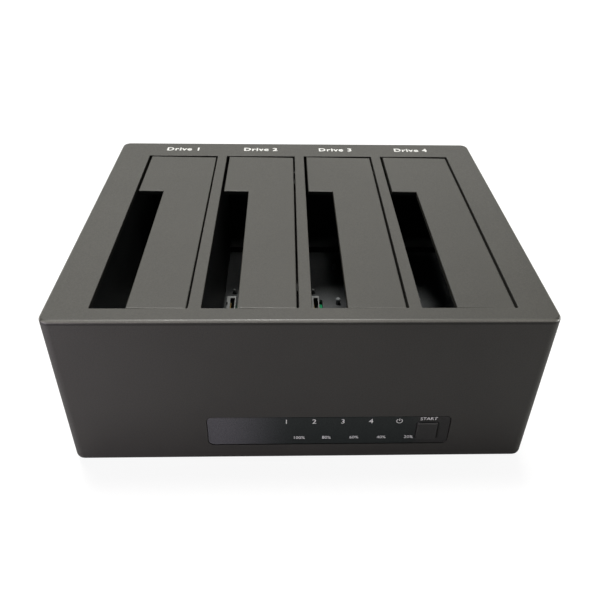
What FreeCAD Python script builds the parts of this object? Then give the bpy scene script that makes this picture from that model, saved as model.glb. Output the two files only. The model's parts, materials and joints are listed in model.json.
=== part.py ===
import FreeCAD, Part
import os
import math

# Four-bay drive duplicator: a desktop station that takes up to four bare drives from above
# and copies one onto the others.
# Frame: origin on the supporting surface under the middle of the case, +X to the right,
# +Y to the back, +Z up. Millimetres.

# ---------------------------------------------------------------- driving dimensions
CASE_W = 148.8          # width of the case, X
CASE_D = 122.5          # depth of the case, Y
CASE_Y = -0.35          # middle of the case, Y
SHELL_H = 59.0          # height of the shell without the feet
FOOT_H = 1.2            # how far the feet stand below the shell
WALL = 2.2              # side and rear walls
FRONT_WALL = 2.9        # front wall, thicker to take the control window
TOP_T = 2.0             # top plate
CORNER_R = 3.1          # upright edges of the case
INNER_R = 1.0           # upright edges on the inside
EDGE_R = 1.0            # rounding round the top
FOOT_EDGE_R = 1.90      # rounding round the lower edge

N_BAYS = 4
BAY_W = 28.4            # slot width: a 26.1 mm drive beside the folded flap
BAY_L = 104.0           # slot length: a 101.6 mm drive with clearance
BAY_PITCH = 32.0
BAY_X = -61.4           # left edge of the first slot
BAY_Y = -55.5           # front edge of the slots
SMALL_W = 10.4          # width of the flap's cut-out, for 2.5-inch drives up to 9.5 mm
SMALL_L = 72.2          # length of the cut-out, for a 69.85 mm drive

SLOT_IN = 0.12          # the top plate's opening is narrower than the well on each side
SLOT_BACK = 0.65        # and ends this far before the well's rear wall

FLAP_T = 1.6
FLAP_SINK = 0.45        # flap face below the case's top face at the hinge
FLAP_TILT = 0.75        # degrees by which a shut flap rises away from its hinge
FLAP_ROUND = 0.35       # rounding of the flap's upper edges
SLOT_ROUND = 0.22       # rounding of the slots' upper edges
FLAP_GAP_L = 1.12
FLAP_GAP_R = 0.72
FLAP_GAP_F = 0.28
FLAP_GAP_B = 1.15
HINGE_X = 29.45         # hinge axis from the slot's left edge
HINGE_DROP = 3.3        # hinge axis below the case's top face
PIN_R = 0.70
PIN_PLAY = 0.03
KNUCKLE_R = 1.3
ARM_W = 4.0             # arm between flap and knuckle
KNUCKLES = ((-46.0, -36.0), (26.0, 36.0))
SPRING_Y = (36.6, 42.6)
SPRING_WIRE_R = 0.17
SPRING_COIL_R = 1.02
SPRING_LEG = 10.0

FRAME_WALL_L = 1.05     # wall left of each well
FRAME_WALL_R = 1.0      # wall right of each well
WELL_EXTRA = 0.3        # well's right wall stands back from the slot's edge
FRAME_WALL_Y = 1.5
FLOOR_T = 1.6
FLOOR_Z = 16.5          # heights above the shell's lower edge from here on
REST_Z = 19.1
LEDGE_Y = 41.2
FRAME_TOP = 56.9

SOCKET_X0, SOCKET_X1 = 1.8, 5.4     # drive socket's sides from the slot's left edge
CAVITY_X0, CAVITY_X1 = 3.25, 4.9    # the contact cavity lies nearer to its right side
SOCKET_L = 42.2
SOCKET_OFF = 11.7       # from the slot's front edge
SLIT_X1 = 7.25          # board is seen through a slit beside the socket
SLIT_Y1 = 4.3
SOCKET_TOP = 23.0
PEG_X, PEG_Y = 3.7, 9.0             # locating peg of the drive board, in a hole of the well floor

DRIVE_PCB_Z = 12.7
MAIN_PCB_Z = 3.6
PCB_T = 1.6

WIN_X0, WIN_X1 = -30.1, 48.2        # control window on the front
WIN_Z0, WIN_Z1 = 7.0, 19.9
WIN_R = 2.0
WIN_T = 1.1
WIN_SINK = 0.1
WIN_PLAY = 0.18
BTN_X0, BTN_X1 = 37.4, 44.05
BTN_Z0, BTN_Z1 = 9.4, 17.0
BTN_R = 0.7
BTN_GAP = 0.25
BTN_PROUD = 0.45
BTN_TRAVEL = 0.6
LED_TOP = [(-4.75 + 9.1 * i, 13.6) for i in range(5)]
LED_LOW = [(-0.65 + 9.0 * i, 11.4) for i in range(5)]

JACK_X = 56.0           # power inlet
ROCKER_X = 37.0         # power switch
USB_X = 14.0            # data socket

POST = [(-68.6, -54.9), (68.6, -54.9), (-68.6, 54.9), (68.6, 54.9)]
POST_R = 3.1
FRAME_EAR = [(-67.3, -28.0), (-67.3, 28.0), (68.3, -20.0), (68.3, 20.0)]
BOARD_EAR = [(-66.8, -42.0), (-66.8, 8.0), (68.4, -42.0), (68.4, 8.0)]
STANDOFF = [(-52.0, -42.0), (54.0, -42.0), (-52.0, 36.0), (66.0, 36.0)]
FEET = [(-58.0, -46.0), (58.0, -46.0), (-58.0, 46.0), (58.0, 46.0)]
FOOT_R = 5.0

# ---------------------------------------------------------------- derived
ZB = FOOT_H
ZT = FOOT_H + SHELL_H
HX = CASE_W / 2.0
FRONT, BACK = CASE_Y - CASE_D / 2.0, CASE_Y + CASE_D / 2.0
IN_FRONT, IN_BACK = FRONT + FRONT_WALL, BACK - WALL
BAY_Y1 = BAY_Y + BAY_L
BAYS = [BAY_X + BAY_PITCH * i for i in range(N_BAYS)]
HINGE_Z = ZT - HINGE_DROP
V = FreeCAD.Vector


def Z(h):
    """height above the shell's lower edge -> height in the part's frame"""
    return ZB + h


def box(x0, y0, z0, x1, y1, z1):
    return Part.makeBox(x1 - x0, y1 - y0, z1 - z0, V(x0, y0, z0))


def cyl(r, x, y, z0, z1):
    return Part.makeCylinder(r, z1 - z0, V(x, y, z0), V(0, 0, 1))


def cyl_y(r, x, z, y0, y1):
    return Part.makeCylinder(r, y1 - y0, V(x, y0, z), V(0, 1, 0))


def rounded_wire(a0, b0, a1, b1, r, place):
    """closed rounded rectangle; place(a, b) gives a point"""
    s = math.sqrt(0.5)
    pts = []
    cs = [(a1 - r, b0 + r, -90), (a1 - r, b1 - r, 0), (a0 + r, b1 - r, 90), (a0 + r, b0 + r, 180)]
    arcs = []
    for ca, cb, t in cs:
        p = []
        for k in (0, 45, 90):
            w = math.radians(t + k)
            p.append(place(ca + r * math.cos(w), cb + r * math.sin(w)))
        arcs.append(p)
    edges = []
    for i, p in enumerate(arcs):
        edges.append(Part.Arc(p[0], p[1], p[2]).toShape())
        q = arcs[(i + 1) % 4][0]
        if (q - p[2]).Length > 1e-6:
            edges.append(Part.makeLine(p[2], q))
    return Part.Wire(edges)


def rbox(x0, y0, z0, x1, y1, z1, r):
    """box with rounded upright edges"""
    w = rounded_wire(x0, y0, x1, y1, r, lambda a, b: V(a, b, z0))
    return Part.Face(w).extrude(V(0, 0, z1 - z0))


def rbox_y(x0, z0, x1, z1, r, y0, y1):
    """box with rounded edges along Y"""
    w = rounded_wire(x0, z0, x1, z1, r, lambda a, b: V(a, y0, b))
    return Part.Face(w).extrude(V(0, y1 - y0, 0))


def poly_prism(pts, direction):
    w = Part.makePolygon([V(*p) for p in pts] + [V(*pts[0])])
    return Part.Face(w).extrude(V(*direction))


def fuse(shapes):
    s = shapes[0]
    if len(shapes) > 1:
        s = s.multiFuse(shapes[1:])
    return s.removeSplitter()


def cut(base, tools):
    for t in tools:
        base = base.cut(t)
    return base


def save(name, shapes):
    """one file per node; a list stays a group of separate solids"""
    if not isinstance(shapes, (list, tuple)):
        shapes = [shapes]
    solids = []
    for s in shapes:
        solids.extend(s.Solids)
    for s in solids:
        if not s.isValid():
            print("INVALID", name)
    out = solids[0] if len(solids) == 1 else Part.makeCompound(solids)
    out.exportStep("parts/" + name + ".step")
    bb = out.BoundBox
    print("%-24s %3d solid(s) %9.1f mm3  x %.2f..%.2f y %.2f..%.2f z %.2f..%.2f" % (
        name, len(solids), out.Volume, bb.XMin, bb.XMax, bb.YMin, bb.YMax, bb.ZMin, bb.ZMax))


# ---------------------------------------------------------------- top shell
def make_top_shell():
    s = rbox(-HX, FRONT, ZB, HX, BACK, ZT, CORNER_R)
    top_edges = [e for e in s.Edges if e.BoundBox.ZMin > ZT - 0.01]
    s = s.makeFillet(EDGE_R, top_edges)
    low_edges = [e for e in s.Edges if e.BoundBox.ZMax < ZB + 0.01]
    s = s.makeFillet(FOOT_EDGE_R, low_edges)
    s = s.cut(rbox(-HX + WALL, IN_FRONT, ZB - 1, HX - WALL, IN_BACK, ZT - TOP_T, INNER_R))
    adds, cuts = [], []
    for x, y in POST:
        adds.append(cyl(POST_R, x, y, Z(5.05), ZT - TOP_T + 0.1))
        cuts.append(cyl(1.45, x, y, Z(5.0), Z(15.0)))
    for x, y in FRAME_EAR:
        adds.append(cyl(2.8, x, y, Z(50.0), ZT - TOP_T + 0.1))
        cuts.append(cyl(1.2, x, y, Z(49.9), Z(56.0)))
    # bosses on the inside of the front wall for the indicator board
    for x in (-27.0, 48.3):
        adds.append(cyl_y(2.2, x, Z(9.0), IN_FRONT - 0.1, -51.95))
        cuts.append(cyl_y(0.9, x, Z(9.0), -57.5, -51.9))
    s = fuse([s] + adds)
    for x0 in BAYS:
        s = s.cut(rbox(x0 + SLOT_IN, BAY_Y, ZT - TOP_T - 1, x0 + BAY_W - SLOT_IN, BAY_Y1 - SLOT_BACK, ZT + 1, 0.4))
    lips = [e for e in s.Edges if e.BoundBox.ZMin > ZT - 0.01 and e.BoundBox.XMin > BAYS[0] - 0.1
            and e.BoundBox.XMax < BAYS[-1] + BAY_W + 0.1 and e.BoundBox.YMin > BAY_Y - 0.1 and e.BoundBox.YMax < BAY_Y1 + 0.1]
    s = s.makeFillet(SLOT_ROUND, lips)
    for x0 in BAYS:
        # relief under the land for the hinge knuckles and the spring
        for y0, y1 in ((KNUCKLES[0][0] - 0.4, KNUCKLES[0][1] + 0.4), (KNUCKLES[1][0] - 0.4, SPRING_Y[1] + 1.0)):
            cuts.append(box(x0 + BAY_W - 0.5, y0, ZT - TOP_T - 0.5, x0 + 30.95, y1, ZT - 1.5))
    # front: recess of the control window, apertures for the lights, hole of the button
    cuts.append(rbox_y(WIN_X0, Z(WIN_Z0), WIN_X1, Z(WIN_Z1), WIN_R, FRONT - 1, FRONT + WIN_SINK + WIN_T))
    for x, z in LED_TOP + LED_LOW:
        cuts.append(cyl_y(1.1, x, Z(z), FRONT, IN_FRONT + 0.5))
    cuts.append(rbox_y(BTN_X0 - BTN_GAP, Z(BTN_Z0 - BTN_GAP), BTN_X1 + BTN_GAP, Z(BTN_Z1 + BTN_GAP),
                       BTN_R + BTN_GAP, FRONT - 1, IN_FRONT + 1))
    # back: cut-outs of the power inlet, the switch and the data socket
    cuts.append(rbox_y(JACK_X - 4.7, Z(5.0), JACK_X + 4.7, Z(16.4), 0.5, IN_BACK - 1, BACK + 1))
    cuts.append(rbox_y(ROCKER_X - 6.9, Z(5.55), ROCKER_X + 6.9, Z(15.05), 0.4, IN_BACK - 1, BACK + 1))
    cuts.append(rbox_y(USB_X - 6.15, Z(5.0), USB_X + 6.15, Z(17.45), 0.6, IN_BACK - 1, BACK + 1))
    return cut(s, cuts)


# ---------------------------------------------------------------- base plate
def make_base_plate():
    g = 0.25
    s = rbox(-HX + WALL + g, IN_FRONT + g, ZB, HX - WALL - g, IN_BACK - g, Z(2.0), INNER_R - 0.1)
    adds, cuts = [], []
    # low rim inside the shell wall, open under the rear sockets
    rim = rbox(-HX + WALL + g, IN_FRONT + g, Z(1.9), HX - WALL - g, IN_BACK - g, Z(4.0), INNER_R - 0.1)
    rim = rim.cut(rbox(-HX + WALL + g + 1.2, IN_FRONT + g + 1.2, Z(1.0), HX - WALL - g - 1.2, IN_BACK - g - 1.2, Z(5.0), 1.0))
    rim = rim.cut(box(USB_X - 9, IN_BACK - 3, Z(2.0), JACK_X + 8, IN_BACK + 1, Z(5)))
    adds.append(rim)
    for x, y in POST:
        adds.append(cyl(3.9, x, y, Z(1.9), Z(5.0)).common(
            box(-HX + WALL + g, IN_FRONT + g, ZB, HX - WALL - g, IN_BACK - g, Z(6))))
        cuts.append(cyl(2.7, x, y, ZB - 1, Z(3.4)))
        cuts.append(cyl(1.6, x, y, ZB, Z(6.0)))
    for x, y in STANDOFF:
        adds.append(cyl(2.8, x, y, Z(1.9), Z(MAIN_PCB_Z)))
        cuts.append(cyl(1.0, x, y, Z(0.8), Z(MAIN_PCB_Z + 1)))
    for x, y in FEET:
        adds.append(cyl(FOOT_R + 1.4, x, y, Z(1.9), Z(2.6)))
        cuts.append(cyl(FOOT_R + 0.1, x, y, ZB - 1, Z(1.0)))
    s = fuse([s] + adds)
    # air slots in two fields
    for cx in (-26.0, 26.0):
        for k in range(8):
            x = cx - 17.5 + 5.0 * k
            cuts.append(rbox(x - 1.0, -22.0, ZB - 1, x + 1.0, 6.0, Z(3), 0.95))
    return cut(s, cuts)


def make_feet():
    out = []
    for x, y in FEET:
        f = cyl(FOOT_R, x, y, 0.0, Z(1.0))
        e = [k for k in f.Edges if k.BoundBox.ZMax < 0.01]
        out.append(f.makeFillet(0.5, e))
    return out


def screw(x, y, z_seat, head_r, head_h, shank_r, shank_l, up=True, cross=True):
    """pan-head screw along Z; z_seat is the plane under the head"""
    d = 1 if up else -1
    z0, z1 = (z_seat - head_h, z_seat) if up else (z_seat, z_seat + head_h)
    h = cyl(head_r, x, y, z0, z1)
    lip = [e for e in h.Edges if (abs(e.BoundBox.ZMax - (z0 if up else z1)) < 0.01 and abs(e.BoundBox.ZMin - (z0 if up else z1)) < 0.01)]
    h = h.makeFillet(head_h * 0.45, lip)
    tip = 0.6 * shank_r
    if up:
        s = cyl(shank_r, x, y, z_seat - 0.1, z_seat + shank_l - tip)
        c = Part.makeCone(shank_r, shank_r * 0.45, tip, V(x, y, z_seat + shank_l - tip), V(0, 0, 1))
    else:
        s = cyl(shank_r, x, y, z_seat - shank_l + tip, z_seat + 0.1)
        c = Part.makeCone(shank_r, shank_r * 0.45, tip, V(x, y, z_seat - shank_l + tip), V(0, 0, -1))
    b = fuse([h, s, c])
    if cross:
        w, l, dp = head_r * 0.26, head_r * 1.1, head_h * 0.55
        zz = (z0 - 0.1, z0 + dp) if up else (z1 - dp, z1 + 0.1)
        b = b.cut(box(x - l / 2, y - w / 2, zz[0], x + l / 2, y + w / 2, zz[1]))
        b = b.cut(box(x - w / 2, y - l / 2, zz[0], x + w / 2, y + l / 2, zz[1]))
    return b


# ---------------------------------------------------------------- well frame under the slots
def make_bay_frame():
    xl = BAYS[0] - FRAME_WALL_L
    xr = BAYS[-1] + BAY_W + WELL_EXTRA + FRAME_WALL_R
    y0, y1 = BAY_Y - FRAME_WALL_Y, BAY_Y1 + FRAME_WALL_Y
    zf0, zf1 = Z(FLOOR_Z - FLOOR_T), Z(FLOOR_Z)
    zt = Z(FRAME_TOP)
    parts = [box(xl, y0, zf0, xr, y1, zf1)]
    parts.append(box(xl, y0, zf0, xr, BAY_Y, zt))
    parts.append(box(xl, BAY_Y1, zf0, xr, y1, zt))
    for x0 in BAYS:
        parts.append(box(x0 - FRAME_WALL_L, y0, zf0, x0, y1, zt))
        xw = x0 + BAY_W + WELL_EXTRA
        parts.append(box(xw, y0, zf0, xw + FRAME_WALL_R, y1, zt))
        # raised rear ledge
        parts.append(box(x0 - 0.1, LEDGE_Y - FLOOR_T, zf0, xw + 0.1, BAY_Y1 + 0.1, Z(REST_Z)))
    # floor of the gaps between wells behind the ledge line
    parts.append(box(xl, LEDGE_Y - FLOOR_T, zf0, xr, y1, Z(REST_Z)))
    s = fuse(parts)
    cuts = [box(xl - 1, LEDGE_Y, zf0 - 1, xr + 1, y1 + 1, Z(REST_Z - FLOOR_T))]
    adds = []
    for i, x0 in enumerate(BAYS):
        xw = x0 + BAY_W + WELL_EXTRA
        # windows in the right wall for knuckles and spring
        for ya, yb in ((KNUCKLES[0][0] - 0.4, KNUCKLES[0][1] + 0.4), (KNUCKLES[1][0] - 0.4, SPRING_Y[1] + 1.0)):
            cuts.append(box(xw - 0.1, ya, Z(51.6), xw + FRAME_WALL_R + 0.1, yb, zt + 1))
        # opening in the floor round the drive socket, the slit beside it and a hole behind it
        cuts.append(rbox(x0 + SOCKET_X0 - 0.4, BAY_Y + SOCKET_OFF - 0.5, zf0 - 1, x0 + SLIT_X1, BAY_Y + SOCKET_OFF + SOCKET_L + 0.5, zf1 + 1, 0.4))
        cuts.append(rbox(x0 + SOCKET_X1 + 0.2, BAY_Y + SOCKET_OFF + 20.0, zf0 - 1, x0 + SLIT_X1, SLIT_Y1, zf1 + 1, 0.6))
        cuts.append(cyl(0.95, x0 + PEG_X, PEG_Y, zf0 - 1, zf1 + 1))
    s = cut(s, cuts)
    for i, x0 in enumerate(BAYS):
        xe = x0 + 30.95 + 0.2 if i < N_BAYS - 1 else x0 + 30.6
        # bearing ribs of the hinge pin
        for ya, yb in ((-54.6, -52.4), (8.0, 10.4), (45.4, 47.6)):
            adds.append(box(x0 + 28.35, ya, Z(50.0), xe, yb, zt))
        # rest studs for the drive's lower edge
        for sy in (-44.0, 1.9, 26.0):
            stud = cyl(0.95, x0 + 13.4, sy, zf1 - 0.1, Z(REST_Z))
            adds.append(stud.makeChamfer(0.3, [e for e in stud.Edges if e.BoundBox.ZMin > Z(REST_Z) - 0.01]))
    # ears to the shell and lugs for the drive board
    for x, y in FRAME_EAR:
        side = xl if x < 0 else xr
        a, b = (x - 2.8, side + 0.2) if x < 0 else (side - 0.2, x + 2.8)
        adds.append(box(a, y - 3.2, Z(47.6), b, y + 3.2, Z(49.9)))
        adds.append(poly_prism([(side, y - 0.8, Z(42.0)), (x, y - 0.8, Z(47.7)), (side, y - 0.8, Z(47.7))], (0, 1.6, 0)))
    for x, y in BOARD_EAR:
        side = xl if x < 0 else xr
        a, b = (x - 3.0, side + 0.2) if x < 0 else (side - 0.2, x + 3.0)
        adds.append(box(a, y - 3.0, Z(14.9), b, y + 3.0, Z(16.5)))
        adds.append(cyl(2.9, x, y, Z(DRIVE_PCB_Z + PCB_T), Z(20.5)))
    s = fuse([s] + adds)
    cuts = []
    for x0 in BAYS:
        cuts.append(cyl_y(PIN_R, x0 + HINGE_X, HINGE_Z, -54.3, 47.7))
    for x, y in FRAME_EAR:
        cuts.append(cyl(1.5, x, y, Z(40.0), Z(51.0)))
        cuts.append(cyl(2.6, x, y, Z(38.0), Z(47.6)))
    for x, y in BOARD_EAR:
        cuts.append(cyl(1.0, x, y, Z(14.0), Z(20.0)))
    return cut(s, cuts)


# ---------------------------------------------------------------- flaps
def make_flap(x0):
    zt = ZT - FLAP_SINK
    zb = zt - FLAP_T
    xl, xn, xr = x0 + FLAP_GAP_L, x0 + SMALL_W, x0 + BAY_W - FLAP_GAP_R
    yf, yn, yb = BAY_Y + FLAP_GAP_F, BAY_Y + SMALL_L, BAY_Y1 - FLAP_GAP_B
    pts = [(xn, yf, zb), (xr, yf, zb), (xr, yb, zb), (xl, yb, zb), (xl, yn, zb), (xn, yn, zb)]
    s = poly_prism(pts, (0, 0, FLAP_T))
    up = [e for e in s.Edges if e.BoundBox.ZMin > zt - 0.01]
    s = s.makeFillet(FLAP_ROUND, up)
    adds = []
    for ya, yb2 in KNUCKLES:
        adds.append(cyl_y(KNUCKLE_R, x0 + HINGE_X, HINGE_Z, ya, yb2))
        # arm from the flap's underside down and across to the knuckle
        ym = (ya + yb2) / 2.0
        arm = [(x0 + 25.9, zb + 0.1), (x0 + 25.9, HINGE_Z - 0.5), (x0 + 26.4, HINGE_Z - 1.0), (x0 + 29.4, HINGE_Z - 1.0),
               (x0 + 29.4, HINGE_Z + 0.1), (x0 + 27.1, HINGE_Z + 0.1), (x0 + 27.1, zb + 0.1)]
        adds.append(poly_prism([(a, ym - ARM_W / 2, b) for a, b in arm], (0, ARM_W, 0)))
    s = fuse([s] + adds)
    s.rotate(V(x0 + HINGE_X, 0, HINGE_Z), V(0, 1, 0), FLAP_TILT)
    for ya, yb2 in KNUCKLES:
        s = s.cut(cyl_y(PIN_R + PIN_PLAY, x0 + HINGE_X, HINGE_Z, ya - 1, yb2 + 1))
    return s


def make_pin(x0):
    p = cyl_y(PIN_R, x0 + HINGE_X, HINGE_Z, -54.3, 47.6)
    return p.makeChamfer(0.15, [e for e in p.Edges if e.BoundBox.YLength < 0.01])


def make_spring(x0):
    """torsion spring round the hinge pin: the long leg lies under the flap, the short one
    reaches over to the next wall"""
    y0, y1 = SPRING_Y
    r, w = SPRING_COIL_R, SPRING_WIRE_R
    pitch = 0.5
    turns = int((y1 - y0 - 1.0) / pitch)
    h = pitch * turns
    ax, az = x0 + HINGE_X, HINGE_Z
    prof = Part.Wire([Part.makeCircle(w, V(r, 0, 0), V(0, 1, 0))])
    coil = Part.Wire(Part.makeHelix(pitch, h, r).Edges).makePipeShell([prof], True, True)
    # helix axis Z -> Y, both ends at the top of the coil
    coil.rotate(V(0, 0, 0), V(1, 0, 0), -90)
    coil.rotate(V(0, 0, 0), V(0, 1, 0), -90)
    coil.translate(V(ax, y0 + 0.5, az))
    coil = coil.Solids[0] if coil.Solids else Part.Solid(coil)
    ends = sorted([f for f in coil.Faces if isinstance(f.Surface, Part.Plane)], key=lambda f: f.CenterOfMass.y)
    legs = [ends[0].extrude(V(-SPRING_LEG, 0, 0)), ends[-1].extrude(V(1.3, 0, 0))]
    s = coil.multiFuse(legs)
    s.rotate(V(ax, 0, az), V(0, 1, 0), FLAP_TILT)
    return s


# ---------------------------------------------------------------- sockets and boards
def make_socket(x0):
    ya = BAY_Y + SOCKET_OFF
    yb = ya + SOCKET_L
    z0, z1 = Z(DRIVE_PCB_Z + PCB_T), Z(SOCKET_TOP)
    s = rbox(x0 + SOCKET_X0, ya, z0, x0 + SOCKET_X1, yb, z1, 0.4)
    s = s.makeChamfer(0.15, [e for e in s.Edges if e.BoundBox.ZMin > z1 - 0.01 and e.Length > 1.0])
    # power cavity (long) at the front, signal cavity (short) at the back, each with its key;
    # the outer end of each is a wider guide
    cav = [(ya + 1.4, ya + 27.4), (ya + 29.4, yb - 1.4)]
    xa, xb = x0 + CAVITY_X0, x0 + CAVITY_X1
    cuts = []
    for a, b in cav:
        cuts.append(box(xa, a, z1 - 6.4, xb, b, z1 + 1))
    cuts.append(box(xa - 0.7, cav[0][1] - 1.4, z1 - 6.4, xb, cav[0][1], z1 + 1))
    cuts.append(box(xa - 0.7, cav[1][0], z1 - 6.4, xb, cav[1][0] + 1.4, z1 + 1))
    # shallow step along the left side
    cuts.append(box(x0 + SOCKET_X0 - 0.1, ya + 4.0, z1 - 1.3, x0 + SOCKET_X0 + 0.55, yb - 4.0, z1 + 1))
    return cut(s, cuts), cav


def make_contacts(x0, cav):
    x = x0 + CAVITY_X0
    z1 = Z(SOCKET_TOP)
    out = []
    for (a, b), n in zip(cav, (15, 7)):
        span = (n - 1) * 1.27
        mid = (a + b) / 2.0 + (0.8 if n == 15 else -0.4)
        for k in range(n):
            y = mid - span / 2.0 + 1.27 * k
            out.append(box(x, y - 0.3, z1 - 6.3, x + 0.25, y + 0.3, z1 - 1.0))
    return out


def make_drive_board():
    s = rbox(-70.6, -50.0, Z(DRIVE_PCB_Z), 71.2, 36.0, Z(DRIVE_PCB_Z + PCB_T), 1.5)
    for x, y in BOARD_EAR:
        s = s.cut(cyl(1.3, x, y, Z(0), Z(30)))
    return s


def make_main_board():
    s = rbox(-60.0, -49.6, Z(MAIN_PCB_Z), 69.4, 56.9, Z(MAIN_PCB_Z + PCB_T), 1.5)
    # corner notches clear of the base bosses
    s = s.cut(box(64.0, 50.0, Z(0), 80.0, 60.0, Z(20)))
    for x, y in STANDOFF:
        s = s.cut(cyl(1.3, x, y, Z(0), Z(30)))
    return s


os.makedirs("parts", exist_ok=True)
for old in os.listdir("parts"):
    if old.endswith(".step"):
        os.remove(os.path.join("parts", old))

save("top_shell", make_top_shell())
save("base_plate", make_base_plate())
save("rubber_feet", make_feet())
save("base_screws", [screw(x, y, Z(3.4), 2.5, 1.6, 1.45, 9.6) for x, y in POST])
save("bay_frame", make_bay_frame())
save("frame_screws", [screw(x, y, Z(47.6), 2.4, 1.5, 1.2, 7.6) for x, y in FRAME_EAR])

for i, x0 in enumerate(BAYS):
    n = i + 1
    save("flap_%d" % n, make_flap(x0))
    save("flap_pin_%d" % n, make_pin(x0))
    save("flap_spring_%d" % n, make_spring(x0))

pcb_top = Z(MAIN_PCB_Z + PCB_T)
for i, x0 in enumerate(BAYS):
    s, cav = make_socket(x0)
    save("drive_socket_%d" % (i + 1), s)
    save("socket_contacts_%d" % (i + 1), make_contacts(x0, cav))
save("drive_board", make_drive_board())
save("main_board", make_main_board())
pegs = []
for x0 in BAYS:
    p = cyl(0.55, x0 + PEG_X, PEG_Y, Z(DRIVE_PCB_Z + PCB_T), Z(18.4))
    p = p.makeChamfer(0.15, [e for e in p.Edges if e.BoundBox.ZMin > Z(18.39)])
    pegs.append(fuse([p, cyl(1.4, x0 + PEG_X, PEG_Y, Z(DRIVE_PCB_Z + PCB_T), Z(14.75))]))
save("board_pegs", pegs)

# ---------------------------------------------------------------- what stands on the drive board's underside and on the main board
link_x0, link_x1 = -34.0, -6.0
s = box(link_x0, 22.0, Z(8.1), link_x1, 27.2, Z(DRIVE_PCB_Z))
s = s.cut(box(link_x0 + 1.0, 23.0, Z(7.0), link_x1 - 1.0, 23.9, Z(12.2)))
s = s.cut(box(link_x0 + 1.0, 25.3, Z(7.0), link_x1 - 1.0, 26.2, Z(12.2)))
save("link_socket", s)
s = box(link_x0, 22.1, pcb_top, link_x1, 27.1, Z(7.6))
pins = []
for k in range(10):
    for y in (23.45, 25.75):
        x = link_x0 + 2.57 + 2.54 * k
        s = s.cut(box(x - 0.32, y - 0.32, Z(5.0), x + 0.32, y + 0.32, Z(8)))
        pins.append(box(x - 0.32, y - 0.32, pcb_top, x + 0.32, y + 0.32, Z(12.0)))
save("link_header", s)
save("link_pins", pins)


def chip(x0, y0, x1, y1, h, leads, pitch=0.8):
    """moulded package with gull-wing leads on the named sides"""
    z0 = pcb_top
    body = rbox(x0, y0, z0 + 0.15, x1, y1, z0 + h, 0.15)
    top = [e for e in body.Edges if e.BoundBox.ZMin > z0 + h - 0.01 and e.Length > 1.0]
    body = body.makeChamfer(0.12, top)
    body = body.cut(cyl(0.5, x0 + 1.4, y1 - 1.4, z0 + h - 0.12, z0 + h + 1))
    legs = []
    zm = z0 + 0.15 + h * 0.4
    def leg(x, y, dx, dy):
        w = 0.17
        a = [(0.0, zm), (0.45, zm), (0.6, z0), (1.2, z0), (1.2, z0 + 0.18), (0.72, z0 + 0.18), (0.57, zm + 0.18), (0.0, zm + 0.18)]
        if dx:
            return poly_prism([(x + dx * u, y - w, z) for u, z in a], (0, 2 * w, 0))
        return poly_prism([(x - w, y + dy * u, z) for u, z in a], (2 * w, 0, 0))
    if "x" in leads:
        n = int((y1 - y0 - 1.6) / pitch) + 1
        for k in range(n):
            y = (y0 + y1) / 2 + (k - (n - 1) / 2.0) * pitch
            legs += [leg(x0, y, -1, 0), leg(x1, y, 1, 0)]
    if "y" in leads:
        n = int((x1 - x0 - 1.6) / pitch) + 1
        for k in range(n):
            x = (x0 + x1) / 2 + (k - (n - 1) / 2.0) * pitch
            legs += [leg(x, y0, 0, -1), leg(x, y1, 0, 1)]
    return fuse([body] + legs)


save("copy_controller", chip(-12.0, -14.0, 2.0, 0.0, 1.4, "xy", 1.27))
save("bridge_chip", chip(16.0, 18.0, 26.0, 28.0, 1.2, "xy", 1.27))
save("memory_chip", chip(-30.0, -8.0, -25.0, -2.8, 1.6, "x", 1.27))
s = rbox(30.5, 18.0, pcb_top, 34.5, 29.0, pcb_top + 3.2, 1.9)
save("crystal", s.makeFillet(0.5, [e for e in s.Edges if e.BoundBox.ZMin > pcb_top + 3.19]))

caps = []
for x, y in ((44.0, 36.0), (52.0, 36.0), (44.0, 28.0), (60.0, 22.0), (-44.0, 30.0), (-44.0, 20.0)):
    c = cyl(3.15, x, y, pcb_top + 0.5, pcb_top + 6.6)
    c = c.makeFillet(0.4, [e for e in c.Edges if e.BoundBox.ZMin > pcb_top + 6.59])
    g = Part.makeTorus(3.3, 0.35, V(x, y, pcb_top + 1.6))
    c = c.cut(g)
    f = rbox(x - 3.3, y - 3.3, pcb_top, x + 3.3, y + 3.3, pcb_top + 0.5, 0.6)
    caps.append(fuse([c, f]))
save("capacitors", caps)

coils = []
for x, y in ((46.0, 8.0), (57.0, 8.0), (46.0, -4.0), (57.0, -4.0)):
    b = rbox(x - 3.8, y - 3.8, pcb_top, x + 3.8, y + 3.8, pcb_top + 4.0, 1.0)
    b = b.makeFillet(0.4, [e for e in b.Edges if e.BoundBox.ZMin > pcb_top + 3.99])
    coils.append(b)
save("power_coils", coils)

save("main_board_screws", [screw(x, y, pcb_top, 2.3, 1.4, 1.0, 4.4, up=False) for x, y in STANDOFF])
save("drive_board_screws", [screw(x, y, Z(DRIVE_PCB_Z), 2.3, 1.4, 1.0, 6.6) for x, y in BOARD_EAR])

# ---------------------------------------------------------------- front: control window, start button, lights
s = rbox_y(WIN_X0 + WIN_PLAY, Z(WIN_Z0 + WIN_PLAY), WIN_X1 - WIN_PLAY, Z(WIN_Z1 - WIN_PLAY), WIN_R - WIN_PLAY,
           FRONT + WIN_SINK, FRONT + WIN_SINK + WIN_T)
s = s.makeChamfer(0.15, [e for e in s.Edges if e.BoundBox.YMax < FRONT + WIN_SINK + 0.01])
s = s.cut(rbox_y(BTN_X0 - BTN_GAP, Z(BTN_Z0 - BTN_GAP), BTN_X1 + BTN_GAP, Z(BTN_Z1 + BTN_GAP), BTN_R + BTN_GAP,
                 FRONT - 1, IN_FRONT + 1))
save("control_window", s)

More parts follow.
